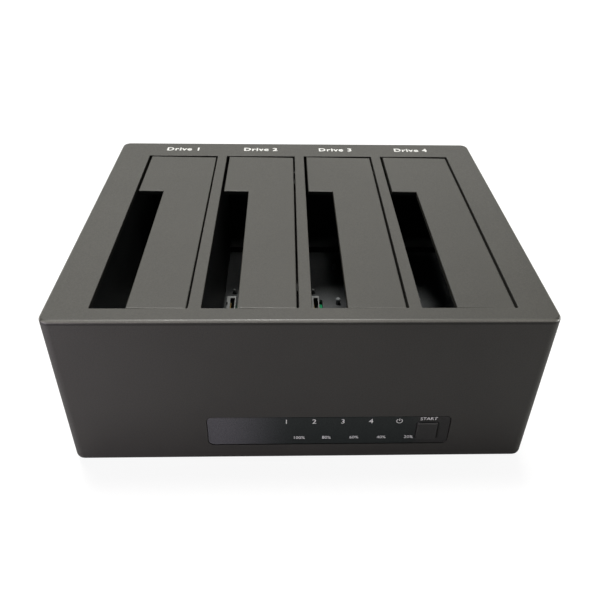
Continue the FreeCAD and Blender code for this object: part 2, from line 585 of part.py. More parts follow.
bx, bz = (BTN_X0 + BTN_X1) / 2.0, (BTN_Z0 + BTN_Z1) / 2.0
cap = rbox_y(BTN_X0, Z(BTN_Z0), BTN_X1, Z(BTN_Z1), BTN_R, FRONT - BTN_PROUD, -58.3)
cap = cap.makeFillet(0.3, [e for e in cap.Edges if e.BoundBox.YMax < FRONT - BTN_PROUD + 0.01])
flange = rbox_y(BTN_X0 - 0.75, Z(BTN_Z0 - 0.75), BTN_X1 + 0.75, Z(BTN_Z1 + 0.75), BTN_R + 0.5, -58.4, -57.9)
stem = cyl_y(1.9, bx, Z(12.0), -58.0, -56.2)
save("start_button", fuse([cap, flange, stem]))
save("switch_plunger", cyl_y(1.6, bx, Z(12.0), -56.2, -53.9))
s = rbox_y(bx - 3.0, Z(9.0), bx + 3.0, Z(14.4), 0.3, -55.3, -51.9)
s = s.cut(cyl_y(1.65, bx, Z(12.0), -56.0, -53.2))
save("tact_switch", s)

s = rbox_y(-30.5, Z(6.2), 51.0, Z(14.5), 0.8, -51.9, -50.3)
for x in (-27.0, 48.3):
    s = s.cut(cyl_y(1.2, x, Z(9.0), -53, -49))
save("indicator_board", s)
scr = []
for x in (-27.0, 48.3):
    k = screw(0, 0, 0, 2.0, 1.1, 0.9, 6.4)
    k.rotate(V(0, 0, 0), V(1, 0, 0), 90)
    k.translate(V(x, -50.3, Z(9.0)))
    scr.append(k)
save("indicator_screws", scr)
leds = []
for x, z in LED_TOP + LED_LOW:
    b = box(x - 1.0, -52.3, Z(z - 0.6), x + 1.0, -51.9, Z(z + 0.6))
    d = Part.makeSphere(0.75, V(x, -52.1, Z(z))).common(box(x - 1, -53, Z(z - 0.55), x + 1, -52.0, Z(z + 0.55)))
    leds.append(fuse([b, d]))
save("indicator_lamps", leds)
guide = [rbox_y(-7.0, Z(10.2), 36.4, Z(14.55), 0.6, -57.0 + 0.25, -53.2)]
for x, z in LED_TOP + LED_LOW:
    guide.append(cyl_y(1.0, x, Z(z), FRONT + WIN_SINK + WIN_T + 0.05, -56.6))
save("light_guide", fuse(guide))

s = box(-16.0, -50.3, pcb_top, 0.0, -47.8, pcb_top + 2.5)
pins = []
for k in range(7):
    x = -14.2 + 2.0 * k + 0.2
    s = s.cut(box(x - 0.25, -50.4, pcb_top + 1.0, x + 0.25, -47.7, pcb_top + 1.5))
    s = s.cut(box(x - 0.25, -48.3, pcb_top - 1, x + 0.25, -47.7, pcb_top + 1.5))
    pins.append(fuse([box(x - 0.25, -50.3, pcb_top + 1.0, x + 0.25, -47.8, pcb_top + 1.5),
                      box(x - 0.25, -48.3, pcb_top, x + 0.25, -47.8, pcb_top + 1.2)]))
save("indicator_header", s)
save("indicator_header_pins", pins)

# ---------------------------------------------------------------- back: power inlet, switch, data socket
jz = Z(10.7)
s = box(JACK_X - 4.5, 46.6, pcb_top, JACK_X + 4.5, 60.75, pcb_top + 11.0)
s = s.cut(cyl_y(3.2, JACK_X, jz, 51.2, 62.0))
s = s.cut(box(JACK_X - 4.6, 46.0, pcb_top + 8.2, JACK_X + 4.6, 49.4, pcb_top + 12))
s = s.cut(cyl_y(1.0, JACK_X, jz, 46.0, 52.0))
save("power_inlet", s)
p = cyl_y(1.0, JACK_X, jz, 46.8, 60.0)
save("power_inlet_pin", p.makeFillet(0.5, [e for e in p.Edges if e.BoundBox.YMin > 59.99]))

# power switch: snap housing with a rocker on a pin across it
rz = Z(10.3)
hz = 4.1
bez = rbox_y(ROCKER_X - 7.6, rz - hz - 1.15, ROCKER_X + 7.6, rz + hz + 1.15, 1.0, BACK, BACK + 0.7)
body = rbox_y(ROCKER_X - 6.7, rz - hz - 0.45, ROCKER_X + 6.7, rz + hz + 0.45, 0.3, 49.4, BACK + 0.1)
s = fuse([bez, body])
s = s.cut(rbox_y(ROCKER_X - 6.1, rz - hz + 0.3, ROCKER_X + 6.1, rz + hz - 0.3, 0.3, 53.6, BACK + 2))
s = s.cut(Part.makeCylinder(0.8, 2 * hz + 0.4, V(ROCKER_X, BACK - 2.2, rz - hz - 0.2), V(0, 0, 1)))
save("power_switch_body", s)
ROCKER_REST = 8.0
pv = (ROCKER_X, BACK - 2.2)
prof = [(-5.5, 3.1), (-5.0, 3.25), (0.0, 2.45), (5.0, 3.25), (5.5, 3.1), (5.45, 0.4), (2.4, -3.6), (-2.4, -3.6), (-5.45, 0.4)]
rk = poly_prism([(pv[0] + a, pv[1] + b, rz - hz + 0.45) for a, b in prof], (0, 0, 2 * (hz - 0.45)))
rk = fuse([rk, Part.makeCylinder(0.75, 2 * hz, V(pv[0], pv[1], rz - hz), V(0, 0, 1))])
rk.rotate(V(pv[0], pv[1], 0), V(0, 0, 1), ROCKER_REST)
save("power_rocker", rk)
terms = []
for dx in (-3.6, 3.6):
    terms.append(fuse([box(ROCKER_X + dx - 1.2, 45.6, rz - 1.9, ROCKER_X + dx + 1.2, 49.4, rz - 1.3),
                       box(ROCKER_X + dx - 1.2, 45.6, pcb_top, ROCKER_X + dx + 1.2, 46.2, rz - 1.3)]))
save("switch_terminals", terms)

uz = Z(5.2)
s = rbox_y(USB_X - 6.0, uz, USB_X + 6.0, uz + 12.0, 0.5, 43.2, 60.75)
# mouth: a tall lower part and a narrower upper part
m1 = poly_prism([(USB_X - 4.3, 45.4, uz + 0.6), (USB_X + 4.3, 45.4, uz + 0.6), (USB_X + 4.3, 45.4, uz + 6.6),
                 (USB_X + 2.9, 45.4, uz + 8.2), (USB_X - 2.9, 45.4, uz + 8.2), (USB_X - 4.3, 45.4, uz + 6.6)], (0, 16, 0))
m2 = box(USB_X - 3.2, 45.4, uz + 8.1, USB_X + 3.2, 61.5, uz + 11.2)
s = cut(s, [m1, m2])
save("data_socket", s)
core = [box(USB_X - 2.85, 45.4, uz + 2.7, USB_X + 2.85, 59.2, uz + 5.9),
        box(USB_X - 2.3, 45.4, uz + 9.2, USB_X + 2.3, 59.0, uz + 10.2)]
core[0] = core[0].makeChamfer(0.4, [e for e in core[0].Edges if e.BoundBox.YMin > 59.19])
save("data_socket_core", core)
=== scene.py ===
import bpy
import bmesh
import json
import math
from mathutils import Matrix, Vector


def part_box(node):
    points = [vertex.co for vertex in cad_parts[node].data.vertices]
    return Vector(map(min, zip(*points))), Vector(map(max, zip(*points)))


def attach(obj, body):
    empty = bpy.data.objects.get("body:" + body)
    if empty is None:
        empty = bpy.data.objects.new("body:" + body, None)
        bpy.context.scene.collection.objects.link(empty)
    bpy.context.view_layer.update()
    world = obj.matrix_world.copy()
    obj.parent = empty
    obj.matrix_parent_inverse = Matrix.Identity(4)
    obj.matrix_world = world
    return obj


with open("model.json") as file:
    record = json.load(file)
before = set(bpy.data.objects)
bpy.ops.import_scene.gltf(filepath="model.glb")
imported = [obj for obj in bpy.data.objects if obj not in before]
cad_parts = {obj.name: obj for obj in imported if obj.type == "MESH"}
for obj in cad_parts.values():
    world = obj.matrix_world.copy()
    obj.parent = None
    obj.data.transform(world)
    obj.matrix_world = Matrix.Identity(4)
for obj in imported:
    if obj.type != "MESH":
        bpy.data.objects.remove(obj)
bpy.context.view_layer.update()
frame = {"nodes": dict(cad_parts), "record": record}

MM = 0.001
NODES = frame["nodes"]
LO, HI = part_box("top_shell")
TOP_Z = HI.z
FRONT_Y = LO.y
BACK_Y = HI.y
BAYS = [-0.0614, -0.0294, 0.0026, 0.0346]
WHITE = (0.80, 0.80, 0.775, 1.0)


# ------------------------------------------------------------------ camera
def make_camera():
    yaw, pitch, roll = -0.04028, 0.62565, -0.02288
    cy, sy = math.cos(yaw), math.sin(yaw)
    fwd = Vector((-sy * math.cos(pitch), cy * math.cos(pitch), -math.sin(pitch)))
    right = Vector((cy, sy, 0.0))
    down = fwd.cross(right)
    c, s = math.cos(roll), math.sin(roll)
    r = c * right + s * down
    d = -s * right + c * down
    cam = bpy.data.cameras.new("camera")
    obj = bpy.data.objects.new("camera", cam)
    bpy.context.scene.collection.objects.link(obj)
    m = Matrix(((r.x, -d.x, -fwd.x, 0), (r.y, -d.y, -fwd.y, 0), (r.z, -d.z, -fwd.z, 0), (0, 0, 0, 1)))
    obj.matrix_world = Matrix.Translation((-0.005087, -0.201427, 0.173808)) @ m
    cam.sensor_fit = "HORIZONTAL"
    cam.sensor_width = 36.0
    cam.lens = 640.996 * 36.0 / 600.0
    cam.shift_x = (300.0 - 306.144) / 600.0
    cam.shift_y = (285.086 - 300.0) / 600.0
    cam.clip_start = 0.005
    cam.clip_end = 60.0
    bpy.context.scene.camera = obj


make_camera()


# ------------------------------------------------------------------ material helpers
class Mat:
    """a node material with its texture coordinate and a few shortcuts"""

    def __init__(self, name):
        self.mat = bpy.data.materials.new(name)
        self.mat.use_nodes = True
        self.nt = self.mat.node_tree
        self.nt.nodes.clear()
        self.out = self.nt.nodes.new("ShaderNodeOutputMaterial")
        self.bsdf = self.nt.nodes.new("ShaderNodeBsdfPrincipled")
        self.nt.links.new(self.bsdf.outputs[0], self.out.inputs[0])
        self.tc = self.nt.nodes.new("ShaderNodeTexCoord")

    def node(self, kind, **props):
        n = self.nt.nodes.new(kind)
        for k, v in props.items():
            setattr(n, k, v)
        return n

    def link(self, a, b):
        self.nt.links.new(a, b)

    def coords(self, scale=(1, 1, 1)):
        if tuple(scale) == (1, 1, 1):
            return self.tc.outputs["Object"]
        m = self.node("ShaderNodeMapping")
        m.inputs["Scale"].default_value = scale
        self.link(self.tc.outputs["Object"], m.inputs["Vector"])
        return m.outputs[0]

    def noise(self, size_mm, detail=2.0, rough=0.5, scale=(1, 1, 1), dist=0.0):
        n = self.node("ShaderNodeTexNoise")
        n.inputs["Scale"].default_value = 1000.0 / size_mm
        n.inputs["Detail"].default_value = detail
        n.inputs["Roughness"].default_value = rough
        n.inputs["Distortion"].default_value = dist
        self.link(self.coords(scale), n.inputs["Vector"])
        return n.outputs["Fac"]

    def voronoi(self, size_mm, feature="F1", scale=(1, 1, 1)):
        n = self.node("ShaderNodeTexVoronoi", feature=feature)
        n.inputs["Scale"].default_value = 1000.0 / size_mm
        self.link(self.coords(scale), n.inputs["Vector"])
        return n.outputs["Distance"]

    def wave(self, size_mm, axis="X", dist=0.0):
        n = self.node("ShaderNodeTexWave", bands_direction=axis)
        n.inputs["Scale"].default_value = 1000.0 / size_mm / (math.pi * 2) * math.pi
        n.inputs["Distortion"].default_value = dist
        self.link(self.coords(), n.inputs["Vector"])
        return n.outputs["Fac"]

    def remap(self, src, a, b, lo, hi, smooth=True):
        n = self.node("ShaderNodeMapRange", interpolation_type="SMOOTHSTEP" if smooth else "LINEAR")
        n.inputs["From Min"].default_value = a
        n.inputs["From Max"].default_value = b
        n.inputs["To Min"].default_value = lo
        n.inputs["To Max"].default_value = hi
        self.link(src, n.inputs["Value"])
        return n.outputs[0]

    def math(self, op, a, b=None, c=None):
        n = self.node("ShaderNodeMath", operation=op)
        for i, v in enumerate((a, b, c)):
            if v is None:
                continue
            if isinstance(v, (int, float)):
                n.inputs[i].default_value = v
            else:
                self.link(v, n.inputs[i])
        return n.outputs[0]

    def ramp(self, src, stops):
        n = self.node("ShaderNodeValToRGB")
        e = n.color_ramp.elements
        while len(e) > 1:
            e.remove(e[-1])
        e[0].position, e[0].color = stops[0][0], tuple(stops[0][1]) + ((1.0,) if len(stops[0][1]) == 3 else ())
        for p, col in stops[1:]:
            k = e.new(p)
            k.color = tuple(col) + ((1.0,) if len(col) == 3 else ())
        self.link(src, n.inputs[0])
        return n.outputs[0]

    def mix(self, fac, a, b, blend="MIX"):
        n = self.node("ShaderNodeMix", data_type="RGBA", blend_type=blend)
        if isinstance(fac, (int, float)):
            n.inputs[0].default_value = fac
        else:
            self.link(fac, n.inputs[0])
        for i, v in ((6, a), (7, b)):
            if isinstance(v, (tuple, list)):
                n.inputs[i].default_value = tuple(v) + ((1.0,) if len(v) == 3 else ())
            else:
                self.link(v, n.inputs[i])
        return n.outputs[2]

    def bump(self, height, strength, distance_mm, normal=None):
        n = self.node("ShaderNodeBump")
        n.inputs["Strength"].default_value = strength
        n.inputs["Distance"].default_value = distance_mm * MM
        self.link(height, n.inputs["Height"])
        if normal is not None:
            self.link(normal, n.inputs["Normal"])
        return n.outputs[0]

    def bevel(self, radius_mm):
        n = self.node("ShaderNodeBevel", samples=4)
        n.inputs["Radius"].default_value = radius_mm * MM
        return n.outputs[0]

    def set(self, **kw):
        for k, v in kw.items():
            s = self.bsdf.inputs[k.replace("_", " ")]
            if hasattr(v, "node"):
                self.link(v, s)
            else:
                s.default_value = v
        return self


def tint(c, f):
    return tuple(min(1.0, x * f) for x in c[:3]) + (1.0,)


def moulded(name, color, rough, grain_mm=0.42, grain=0.22, depth=0.02, spec=0.5, bevel_mm=0.0, blotch=0.07, speck=0.10, dark_below=None, patch=None, edge=None):
    """satin moulded plastic: spark-eroded grain, slow colour drift, polish that varies with the grain"""
    m = Mat(name)
    fine = m.noise(grain_mm, 3.0, 0.62)
    cells = m.voronoi(grain_mm * 1.6, "SMOOTH_F1")
    slow = m.noise(38.0, 2.0, 0.5)
    mid = m.noise(6.0, 3.0, 0.6)
    drift = m.math("ADD", m.math("MULTIPLY", slow, 0.75), m.math("MULTIPLY", mid, 0.25))
    base = m.ramp(drift, [(0.32, tint(color, 1.0 - blotch)), (0.68, tint(color, 1.0 + blotch))])
    specks_and_painted_light = m.remap(fine, 0.36, 0.66, 1.0 - speck, 1.0 + speck)
    col = m.node("ShaderNodeVectorMath", operation="SCALE")
    m.link(base, col.inputs[0])
    # painted shade: below the height dark_below the colour is painted darker, down to 0.22 of itself
    if dark_below is not None:
        sep = m.node("ShaderNodeSeparateXYZ")
        m.link(m.tc.outputs["Object"], sep.inputs[0])
        specks_and_painted_light = m.math("MULTIPLY", specks_and_painted_light, m.remap(sep.outputs[2], dark_below - 0.0001, dark_below + 0.0001, 0.22, 1.0))
    # painted light and shade from the patch mask scale the colour here
    if patch is not None:
        specks_and_painted_light = m.math("MULTIPLY", specks_and_painted_light, patch(m))
    # painted light: the edge mask paints paler bands (painted highlights) into the colour and raises the specular
    # level; for the case it also paints a darker line (painted shade)
    if edge is not None:
        wear_and_painted_light = edge(m)
        specks_and_painted_light = m.math("MULTIPLY", specks_and_painted_light, m.math("ADD", 1.0, m.math("MULTIPLY", wear_and_painted_light, 0.75)))
    m.link(specks_and_painted_light, col.inputs["Scale"])
    height = m.math("ADD", m.math("MULTIPLY", fine, 0.65), m.math("MULTIPLY", cells, 0.5))
    gloss = m.remap(fine, 0.3, 0.7, rough + 0.05, rough - 0.05)
    m.bsdf.inputs["Specular IOR Level"].default_value = spec
    if edge is not None:
        gloss = m.math("SUBTRACT", gloss, m.math("MULTIPLY", wear_and_painted_light, 0.02))
        m.link(m.math("ADD", spec, m.math("MULTIPLY", wear_and_painted_light, 0.06)), m.bsdf.inputs["Specular IOR Level"])
    m.set(Base_Color=col.outputs[0], Roughness=gloss)
    if bevel_mm:
        nrm = m.bump(height, grain, depth, m.bevel(bevel_mm))
    else:
        nrm = m.bump(height, grain, depth)
    m.link(nrm, m.bsdf.inputs["Normal"])
    return m.mat


def metal(name, color, rough, streak="Y", bright=0.12, patina=None):
    """drawn or turned metal: fine streaks along one axis and a thin patina"""
    m = Mat(name)
    sc = {"X": (0.06, 1, 1), "Y": (1, 0.06, 1), "Z": (1, 1, 0.06)}[streak]
    st = m.noise(0.16, 4.0, 0.7, scale=sc)
    slow = m.noise(2.4, 3.0, 0.6)
    col = m.ramp(st, [(0.30, tint(color, 1.0 - bright)), (0.70, tint(color, 1.0 + bright))])
    if patina:
        col = m.mix(m.remap(slow, 0.45, 0.75, 0.0, 0.55), col, patina)
    m.set(Base_Color=col, Metallic=1.0, Roughness=m.remap(slow, 0.3, 0.7, rough - 0.07, rough + 0.08))
    m.link(m.bump(st, 0.12, 0.01), m.bsdf.inputs["Normal"])
    return m.mat


def from_bay(m, sep):
    """distance from a bay's left edge, the same for every bay"""
    return m.math("WRAP", m.math("SUBTRACT", sep.outputs[0], BAYS[0]), 0.030, -0.002)


def within(m, v, a, b, soft=0.00003):
    return m.math("MULTIPLY", m.remap(v, a - soft, a + soft, 0.0, 1.0), m.remap(v, b - soft, b + soft, 1.0, 0.0))


def case_edge(m):
    """painted highlight: the rounding all round the case's top is painted paler, most on the front rim, and is slightly
    polished
    """
    sep = m.node("ShaderNodeSeparateXYZ")
    m.link(m.tc.outputs["Object"], sep.inputs[0])
    front = m.remap(sep.outputs[1], LO.y + 0.0030, LO.y + 0.0040, 1.0, 0.0)
    more = m.math("MULTIPLY", front, m.remap(sep.outputs[2], TOP_Z - 0.00022, TOP_Z - 0.00010, 2.0, 0.0))
    high = m.math("MULTIPLY", m.math("ADD", 1.0, more), m.remap(sep.outputs[2], TOP_Z - 0.00072, TOP_Z - 0.00052, 0.0, 1.0))
    ax = m.math("ABSOLUTE", m.math("SUBTRACT", sep.outputs[0], (LO.x + HI.x) / 2))
    ay = m.math("ABSOLUTE", m.math("SUBTRACT", sep.outputs[1], (LO.y + HI.y) / 2))
    ex = m.remap(ax, (HI.x - LO.x) / 2 - 0.0010, (HI.x - LO.x) / 2 - 0.0007, 0.0, 1.0)
    ey = m.remap(ay, (HI.y - LO.y) / 2 - 0.0010, (HI.y - LO.y) / 2 - 0.0007, 0.0, 1.0)
    painted_shade_line = m.math("MULTIPLY", within(m, sep.outputs[2], TOP_Z - 0.00145, TOP_Z - 0.00080, 0.0001), 0.55)    # painted shade: a darker line below it
    return m.math("MULTIPLY", m.math("SUBTRACT", high, painted_shade_line), m.math("MAXIMUM", ex, ey))


def flap_edge(m):
    """painted highlight: the front edge of a flap is painted paler"""
    sep = m.node("ShaderNodeSeparateXYZ")
    m.link(m.tc.outputs["Object"], sep.inputs[0])
    high = m.remap(sep.outputs[2], TOP_Z - 0.0011, TOP_Z - 0.0008, 0.0, 1.0)
    return m.math("MULTIPLY", high, m.remap(sep.outputs[1], -0.05505, -0.05485, 1.0, 0.0))


def button_edge(m):
    """painted highlight: the upper edge of the start button is painted paler"""
    sep = m.node("ShaderNodeSeparateXYZ")
    m.link(m.tc.outputs["Object"], sep.inputs[0])
    return m.remap(sep.outputs[2], 0.01785, 0.01800, 0.0, 2.6)


def well_painted_light(m):
    """painted light and shade: the rest studs' tops are painted pale as lit tops; the bays' walls and rear parts are
    painted darker than the seat at the front, and the seat at the front is painted brighter
    """
    sep = m.node("ShaderNodeSeparateXYZ")
    m.link(m.tc.outputs["Object"], sep.inputs[0])
    dx = m.math("SUBTRACT", from_bay(m, sep), 0.0134)
    near = None
    for y in (-0.0440, 0.0019, 0.0260):
        dy = m.math("SUBTRACT", sep.outputs[1], y)
        r2 = m.math("ADD", m.math("MULTIPLY", dx, dx), m.math("MULTIPLY", dy, dy))
        k = m.remap(m.math("SQRT", r2), 0.00105, 0.00112, 1.0, 0.0)
        near = k if near is None else m.math("MAXIMUM", near, k)
    # painted highlight on the studs' tops
    high = m.remap(sep.outputs[2], 0.0179, 0.0183, 0.0, 1.0)
    # painted shade on the walls and towards the rear, painted light on the floor at the front
    deep = m.math("MULTIPLY", m.remap(sep.outputs[2], 0.0170, 0.0210, 1.50, 0.55),
                  m.remap(sep.outputs[1], -0.0380, -0.0200, 1.0, 0.62))
    return m.math("ADD", deep, m.math("MULTIPLY", m.math("MULTIPLY", near, high), 3.6))


def socket_mouth(m):
    """painted shade: the socket's two cavities are painted dark inside, down to a fifth of the plastic's colour"""
    sep = m.node("ShaderNodeSeparateXYZ")
    m.link(m.tc.outputs["Object"], sep.inputs[0])
    x = within(m, from_bay(m, sep), 0.00322, 0.00495)
    y = m.math("MAXIMUM", within(m, sep.outputs[1], -0.0425, -0.0163), within(m, sep.outputs[1], -0.0145, -0.00285))
    return m.math("SUBTRACT", 1.0, m.math("MULTIPLY", m.math("MULTIPLY", x, y), 0.80))


# ------------------------------------------------------------------ materials
CASE = (0.0325, 0.0315, 0.0280)
M = {}
# case_edge paints a highlight band and a shade line below it into the case colour
M["case_plastic"] = moulded("case_plastic", CASE, 0.44, grain_mm=0.40, grain=0.22, spec=0.22, bevel_mm=0.12, edge=case_edge)
# the flap's colour is painted darker below TOP_Z - 2.3 mm as painted shade, and its front edge gets a painted highlight
M["flap_plastic"] = moulded("flap_plastic", tint(CASE, 0.98)[:3], 0.44, grain_mm=0.36, grain=0.20, spec=0.22, dark_below=TOP_Z - 0.0023, edge=flap_edge)
M["well_plastic"] = moulded("well_plastic", (0.040, 0.043, 0.044), 0.50, grain_mm=0.5, grain=0.30, blotch=0.12, spec=0.3, patch=well_painted_light)
M["button_plastic"] = moulded("button_plastic", (0.0270, 0.0270, 0.0250), 0.46, grain_mm=0.34, grain=0.20, spec=0.18, edge=button_edge)
M["header_plastic"] = moulded("header_plastic", (0.012, 0.012, 0.0125), 0.38, grain_mm=0.3, grain=0.25)
M["rocker_plastic"] = moulded("rocker_plastic", (0.010, 0.010, 0.010), 0.18, grain_mm=0.9, grain=0.05, spec=0.55)
M["socket_plastic"] = moulded("socket_plastic", (0.135, 0.140, 0.138), 0.40, grain_mm=0.3, grain=0.18, patch=socket_mouth)
M["chip_package"] = moulded("chip_package", (0.014, 0.014, 0.015), 0.55, grain_mm=0.12, grain=0.35)
M["ferrite"] = moulded("ferrite", (0.055, 0.055, 0.060), 0.62, grain_mm=0.2, grain=0.5, speck=0.25)
M["blue_plastic"] = moulded("blue_plastic", (0.010, 0.085, 0.42), 0.34, grain_mm=0.4, grain=0.10)
M["screw_steel"] = metal("screw_steel", (0.30, 0.30, 0.315), 0.34, "X", 0.14, (0.12, 0.12, 0.13))
M["pin_steel"] = metal("pin_steel", (0.050, 0.049, 0.047), 0.50, "Y", 0.08)
M["spring_steel"] = metal("spring_steel", (0.11, 0.107, 0.103), 0.44, "Y", 0.10, (0.06, 0.056, 0.052))
M["tinned_steel"] = metal("tinned_steel", (0.66, 0.66, 0.675), 0.30, "Y", 0.07, (0.42, 0.42, 0.43))
M["capacitor_can"] = metal("capacitor_can", (0.66, 0.66, 0.68), 0.28, "Z", 0.06)
M["contact_plating"] = metal("contact_plating", (0.86, 0.62, 0.26), 0.26, "Z", 0.10, (0.55, 0.40, 0.20))


def make_rubber():
    m = Mat("foot_rubber")
    fine = m.noise(0.22, 4.0, 0.7)
    dust = m.noise(1.6, 4.0, 0.65)
    col = m.mix(m.remap(dust, 0.52, 0.78, 0.0, 0.7), (0.016, 0.016, 0.0165), (0.060, 0.058, 0.055))
    m.set(Base_Color=col, Roughness=m.remap(fine, 0.3, 0.7, 0.62, 0.82))
    m.bsdf.inputs["Specular IOR Level"].default_value = 0.35
    m.link(m.bump(fine, 0.4, 0.03), m.bsdf.inputs["Normal"])
    return m.mat


def make_window():
    """smoked strip, painted lighter towards its left end as a painted reflection, and a little lighter towards the
    right
    """
    m = Mat("window_plastic")
    sep = m.node("ShaderNodeSeparateXYZ")
    m.link(m.tc.outputs["Object"], sep.inputs[0])
    fine = m.noise(0.34, 3.0, 0.6)
    # painted reflection: the strip's colour is painted lighter towards its left end
    painted_reflection_left = m.remap(sep.outputs[0], -0.0270, -0.0010, 1.0, 0.0)
    right = m.remap(sep.outputs[0], 0.0330, 0.0420, 0.0, 1.0)
    speck = m.remap(fine, 0.30, 0.70, 0.72, 1.30)
    dark = m.mix(painted_reflection_left, (0.0175, 0.0208, 0.0196), (0.064, 0.064, 0.067))
    dark = m.mix(right, dark, (0.0255, 0.0252, 0.0236))
    col = m.node("ShaderNodeVectorMath", operation="SCALE")
    m.link(dark, col.inputs[0])
    m.link(speck, col.inputs["Scale"])
    m.set(Base_Color=col.outputs[0], Roughness=m.remap(fine, 0.3, 0.7, 0.30, 0.42))
    m.bsdf.inputs["Specular IOR Level"].default_value = 0.13
    m.link(m.bump(fine, 0.16, 0.012), m.bsdf.inputs["Normal"])
    return m.mat


def make_board():
    """solder mask over copper: traces show as a slightly lighter, raised pattern"""
    m = Mat("circuit_board")
    br = m.node("ShaderNodeTexBrick")
    br.offset = 0.5
    br.inputs["Scale"].default_value = 1.0
    br.inputs["Color1"].default_value = (1, 1, 1, 1)
    br.inputs["Color2"].default_value = (1, 1, 1, 1)
    br.inputs["Mortar"].default_value = (0, 0, 0, 1)
    br.inputs["Mortar Size"].default_value = 0.00016
    br.inputs["Mortar Smooth"].default_value = 0.15
    br.inputs["Brick Width"].default_value = 0.0105
    br.inputs["Row Height"].default_value = 0.0016
    m.link(m.tc.outputs["Object"], br.inputs["Vector"])
    pour = m.voronoi(9.0, "F1", scale=(1, 1.4, 0.01))
    weave = m.noise(0.5, 2.0, 0.5)
    copper = m.math("MAXIMUM", m.math("SUBTRACT", 1.0, br.outputs["Color"]), m.remap(pour, 0.42, 0.44, 0.0, 1.0))
    col = m.mix(m.math("MULTIPLY", copper, 0.75), (0.004, 0.105, 0.040), (0.010, 0.215, 0.085))
    m.set(Base_Color=col, Roughness=m.remap(weave, 0.3, 0.7, 0.22, 0.32))
    m.bsdf.inputs["Coat Weight"].default_value = 0.35
    m.bsdf.inputs["Coat Roughness"].default_value = 0.12
    m.link(m.bump(copper, 0.5, 0.03), m.bsdf.inputs["Normal"])
    return m.mat


def make_ink():
    m = Mat("white_print")
    fine = m.noise(0.18, 3.0, 0.6)
    wear_and_painted_light = m.noise(1.1, 4.0, 0.7)
    col = m.ramp(m.math("ADD", m.math("MULTIPLY", fine, 0.4), m.math("MULTIPLY", wear_and_painted_light, 0.6)),
                 [(0.30, (0.66, 0.66, 0.64)), (0.62, WHITE)])
    sep = m.node("ShaderNodeSeparateXYZ")
    m.link(m.tc.outputs["Object"], sep.inputs[0])
    thin = m.node("ShaderNodeVectorMath", operation="SCALE")    # the ink on the top face is thinner
    m.link(col, thin.inputs[0])
    m.link(m.remap(sep.outputs[2], TOP_Z - 0.002, TOP_Z - 0.001, 0.86, 0.60), thin.inputs["Scale"])
    m.set(Base_Color=thin.outputs[0], Roughness=m.remap(fine, 0.3, 0.7, 0.45, 0.62))
    m.link(m.bump(fine, 0.15, 0.005), m.bsdf.inputs["Normal"])
    return m.mat


def make_clear(name, color, rough):
    m = Mat(name)
    fine = m.noise(0.8, 2.0, 0.5)
    m.set(Base_Color=m.ramp(fine, [(0.3, tint(color, 0.94)), (0.7, tint(color, 1.05))]),
          Roughness=m.remap(fine, 0.3, 0.7, rough, rough + 0.08))
    m.bsdf.inputs["Coat Weight"].default_value = 0.5
    m.bsdf.inputs["Coat Roughness"].default_value = 0.08
    m.link(m.bump(fine, 0.08, 0.02), m.bsdf.inputs["Normal"])
    return m.mat


M["foot_rubber"] = make_rubber()
M["window_plastic"] = make_window()
M["circuit_board"] = make_board()
M["white_print"] = make_ink()
M["lamp_resin"] = make_clear("lamp_resin", (0.72, 0.75, 0.70), 0.20)
M["clear_plastic"] = make_clear("clear_plastic", (0.70, 0.73, 0.74), 0.14)

for sub in frame["record"]["subparts"]:
    ob = NODES[sub["node"]]
    ob.data.materials.clear()
    ob.data.materials.append(M[sub["material_slot"]])


# ------------------------------------------------------------------ geometry helpers
def add_object(name, mesh, mat, body):
    ob = bpy.data.objects.new(name, mesh)
    bpy.context.scene.collection.objects.link(ob)
    mesh.materials.clear()
    mesh.materials.append(M[mat])
    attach(ob, body)
    return ob


def bm_object(name, bm, mat, body, smooth=None):
    bmesh.ops.recalc_face_normals(bm, faces=bm.faces)
    me = bpy.data.meshes.new(name)
    bm.to_mesh(me)
    bm.free()
    if smooth is not None:
        me.shade_smooth()
        me.set_sharp_from_angle(angle=smooth)
    return add_object(name, me, mat, body)


def text_mesh(text, height, bold=0.0, spacing=1.0, depth=0.04):
    """flat lettering in the XY plane, centred on the origin, cap height in metres, as one closed mesh"""
    cu = bpy.data.curves.new("lettering", "FONT")
    cu.body = text
    cu.size = 1.0
    cu.align_x = "CENTER"
    cu.space_character = spacing
    cu.offset = bold
    cu.extrude = 0.02
    cu.resolution_u = 5
    cu.fill_mode = "BOTH"
    ob = bpy.data.objects.new("lettering", cu)
    bpy.context.scene.collection.objects.link(ob)
    bpy.context.view_layer.update()
    dg = bpy.context.evaluated_depsgraph_get()
    me = bpy.data.meshes.new_from_object(ob.evaluated_get(dg))
    bpy.data.objects.remove(ob)
    cap = 0.729
    k = height / cap
    zk = depth * MM / 0.04
    me.transform(Matrix.Diagonal((k, k, zk, 1.0)) @ Matrix.Translation((0, -cap / 2, 0)))
    bm = bmesh.new()
    bm.from_mesh(me)
    bmesh.ops.remove_doubles(bm, verts=bm.verts, dist=1e-7)
    bmesh.ops.recalc_face_normals(bm, faces=bm.faces)
    bm.to_mesh(me)
    bm.free()
    return me


def on_top(x, y, z):
    return Matrix.Translation((x, y, z))


def on_front(x, y, z):
    return Matrix.Translation((x, y, z)) @ Matrix.Rotation(math.radians(90), 4, "X")


def on_back(x, y, z):
    return Matrix.Translation((x, y, z)) @ Matrix.Rotation(math.radians(180), 4, "Z") @ Matrix.Rotation(math.radians(90), 4, "X")


def print_text(name, text, height, place, body="case", bold=0.0, spacing=1.0, wide=1.0):
    me = text_mesh(text, height, bold, spacing)
    me.transform(place @ Matrix.Diagonal((wide, 1, 1, 1)))
    me.name = name
    return add_object(name, me, "white_print", body)


